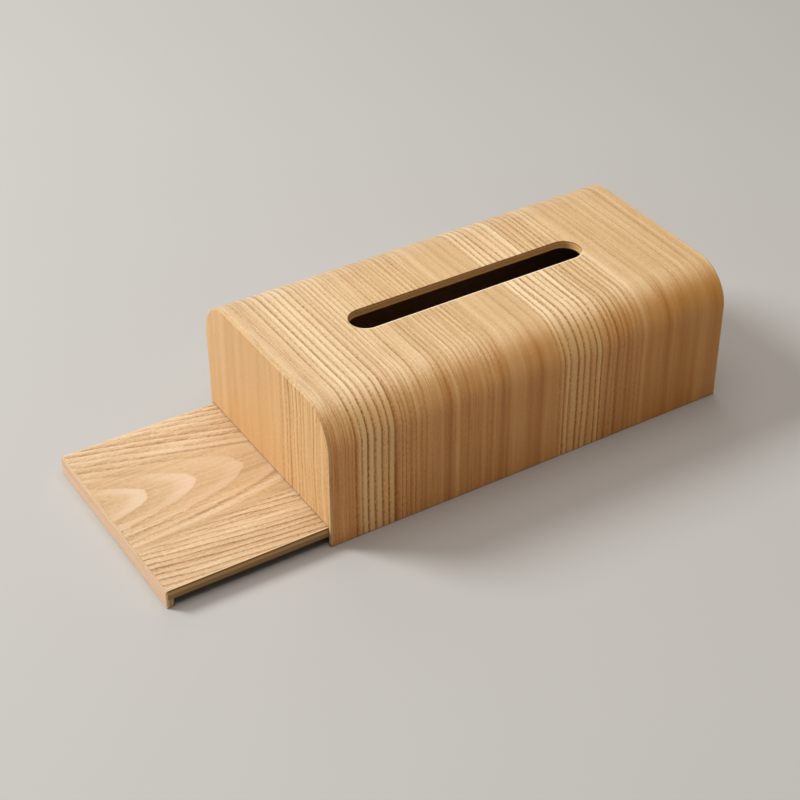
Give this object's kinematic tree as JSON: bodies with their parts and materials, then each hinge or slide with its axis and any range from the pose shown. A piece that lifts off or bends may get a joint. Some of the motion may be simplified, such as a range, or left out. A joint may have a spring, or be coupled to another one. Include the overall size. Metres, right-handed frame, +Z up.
{
  "type": "tissue box",
  "caption": "Long tissue box of moulded ash plywood with rounded long edges, a round-ended dispensing slot on top and a sliding base board with a turned-down lip.",
  "frame": {"origin": "on the surface the box stands on, under the middle of the whole length with the board pulled out as stored", "axes": "+Z up, +X along the box from the sliding board towards the closed rear end, so the board pulls out towards -X; the long walls face -Y and +Y"},
  "size_m": [0.3544, 0.137, 0.084],
  "materials": {
    "ash_shell": "satin oiled ash face veneer, grain over the top and down the sides",
    "ash_end": "satin oiled ash veneer, upright grain",
    "ash_board": "satin oiled ash veneer, cathedral grain along the board",
    "ash_band": "satin ash edging",
    "plywood": "cut and oiled plywood edge",
    "backing": "unfigured backing veneer"
  },
  "bodies": {
    "case": {"shell_face_veneer": "ash_shell", "shell_core": "plywood", "shell_lining_veneer": "backing", "front_end_veneer": "ash_end", "front_end_core": "plywood", "front_end_lining": "backing", "rear_end_veneer": "ash_end", "rear_end_core": "plywood", "rear_end_lining": "backing"},
    "slide_board": {"board_top_veneer": "ash_board", "board_core": "plywood", "board_bottom_veneer": "backing", "lip_core": "plywood", "lip_back_veneer": "backing", "board_front_band": "ash_band"}
  },
  "joints": [
    {"name": "board_slide", "type": "slide", "parent": "case", "child": "slide_board", "axis": [-1, 0, 0], "range_m": [-0.0945, 0.1155]}
  ]
}
